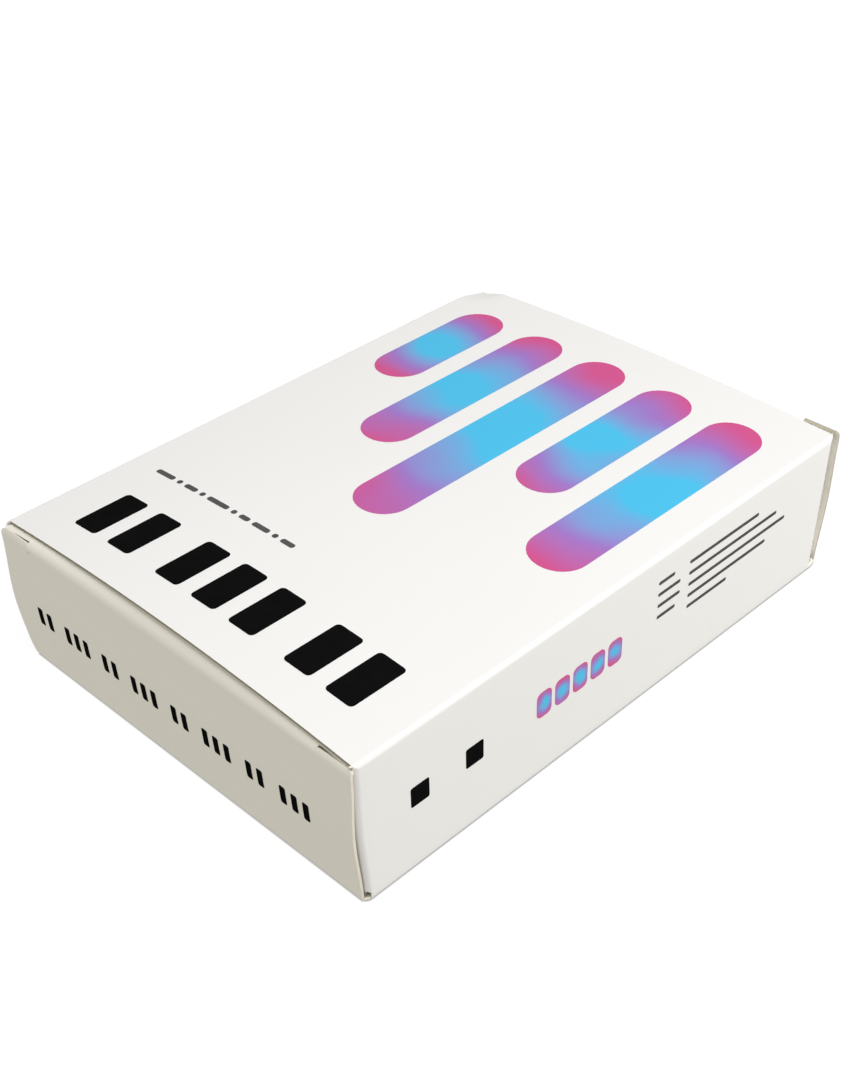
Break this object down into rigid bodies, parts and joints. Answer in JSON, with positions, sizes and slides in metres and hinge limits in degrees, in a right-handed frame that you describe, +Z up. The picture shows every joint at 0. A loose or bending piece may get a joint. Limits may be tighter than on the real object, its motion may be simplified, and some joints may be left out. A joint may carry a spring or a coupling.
{
  "type": "boxed kazoo",
  "caption": "Closed white straight-tuck paperboard carton, with end closures that hinge open, holding a kazoo in a card insert.",
  "frame": {"origin": "under the middle of the carton, on the face it lies on", "axes": "+Z up through the front panel, +Y along the carton to its far closure, +X across it to its right side panel"},
  "size_m": [0.095, 0.13, 0.0324],
  "materials": {
    "carton_white": "smooth white clay coat, matt varnish, with printed decoration",
    "carton_cream": "white coat on the outside, cream raw edges",
    "insert_card": "uncoated white card",
    "leaflet_paper": "thin uncoated paper, folded",
    "kazoo_pink": "satin lacquer that fades from pink to blue",
    "kazoo_blue": "satin lacquer that fades from pink to blue",
    "kazoo_bright": "bright lacquered metal",
    "membrane_film": "thin clear film",
    "gasket_rubber": "matt black rubber"
  },
  "bodies": {
    "carton": {"front_panel": "carton_white", "back_panel": "carton_white", "left_side_panel": "carton_white", "right_side_panel": "carton_white", "glue_flap": "carton_cream", "insert_deck": "insert_card", "insert_left_leg": "insert_card", "insert_right_leg": "insert_card", "leaflet": "leaflet_paper", "spare_membranes": "membrane_film", "kazoo_upper_shell": "kazoo_pink", "kazoo_lower_shell": "kazoo_blue", "kazoo_turret": "kazoo_bright", "kazoo_membrane": "membrane_film", "kazoo_gasket": "gasket_rubber"},
    "near_closure": {"near_closure_panel": "carton_cream"},
    "near_tuck": {"near_tuck_flap": "carton_cream"},
    "near_left_dust": {"near_left_dust_flap": "carton_cream"},
    "near_right_dust": {"near_right_dust_flap": "carton_cream"},
    "far_closure": {"far_closure_panel": "carton_cream"},
    "far_tuck": {"far_tuck_flap": "carton_cream"},
    "far_left_dust": {"far_left_dust_flap": "carton_cream"},
    "far_right_dust": {"far_right_dust_flap": "carton_cream"},
    "cap": {"kazoo_screw_cap": "kazoo_bright"}
  },
  "joints": [
    {"name": "near_closure_turn", "type": "hinge", "parent": "carton", "child": "near_closure", "pos_m": [0, -0.06309, 0.00065], "axis": [1, 0, 0], "range_deg": [0, 84]},
    {"name": "near_tuck_bend", "type": "hinge", "parent": "near_closure", "child": "near_tuck", "pos_m": [0, -0.06334, 0.02822], "axis": [-1, 0, 0], "range_deg": [0, 15]},
    {"name": "near_left_dust_turn", "type": "hinge", "parent": "carton", "child": "near_left_dust", "pos_m": [-0.0467, -0.06277, 0.01503], "axis": [0, 0.0436, -0.999], "range_deg": [0, 42]},
    {"name": "near_right_dust_turn", "type": "hinge", "parent": "carton", "child": "near_right_dust", "pos_m": [0.0467, -0.06277, 0.01503], "axis": [0, -0.0436, 0.999], "range_deg": [0, 42]},
    {"name": "far_closure_turn", "type": "hinge", "parent": "carton", "child": "far_closure", "pos_m": [0, 0.06309, 0.00065], "axis": [-1, 0, 0], "range_deg": [0, 82]},
    {"name": "far_tuck_bend", "type": "hinge", "parent": "far_closure", "child": "far_tuck", "pos_m": [0, 0.06334, 0.02822], "axis": [1, 0, 0], "range_deg": [0, 15]},
    {"name": "far_left_dust_turn", "type": "hinge", "parent": "carton", "child": "far_left_dust", "pos_m": [-0.0467, 0.06277, 0.01503], "axis": [0, 0.0436, 0.999], "range_deg": [0, 41]},
    {"name": "far_right_dust_turn", "type": "hinge", "parent": "carton", "child": "far_right_dust", "pos_m": [0.0467, 0.06277, 0.01503], "axis": [0, -0.0436, -0.999], "range_deg": [0, 41]},
    {"name": "cap_turn", "type": "hinge", "parent": "carton", "child": "cap", "pos_m": [0, 0, 0.022], "axis": [0, 0, 1], "range_deg": [0, 540]}
  ],
  "couplings": [
    {"joint": "near_left_dust_turn", "follows": "near_closure_turn", "ratio": 0.5},
    {"joint": "near_right_dust_turn", "follows": "near_closure_turn", "ratio": 0.5},
    {"joint": "far_left_dust_turn", "follows": "far_closure_turn", "ratio": 0.5},
    {"joint": "far_right_dust_turn", "follows": "far_closure_turn", "ratio": 0.5}
  ]
}
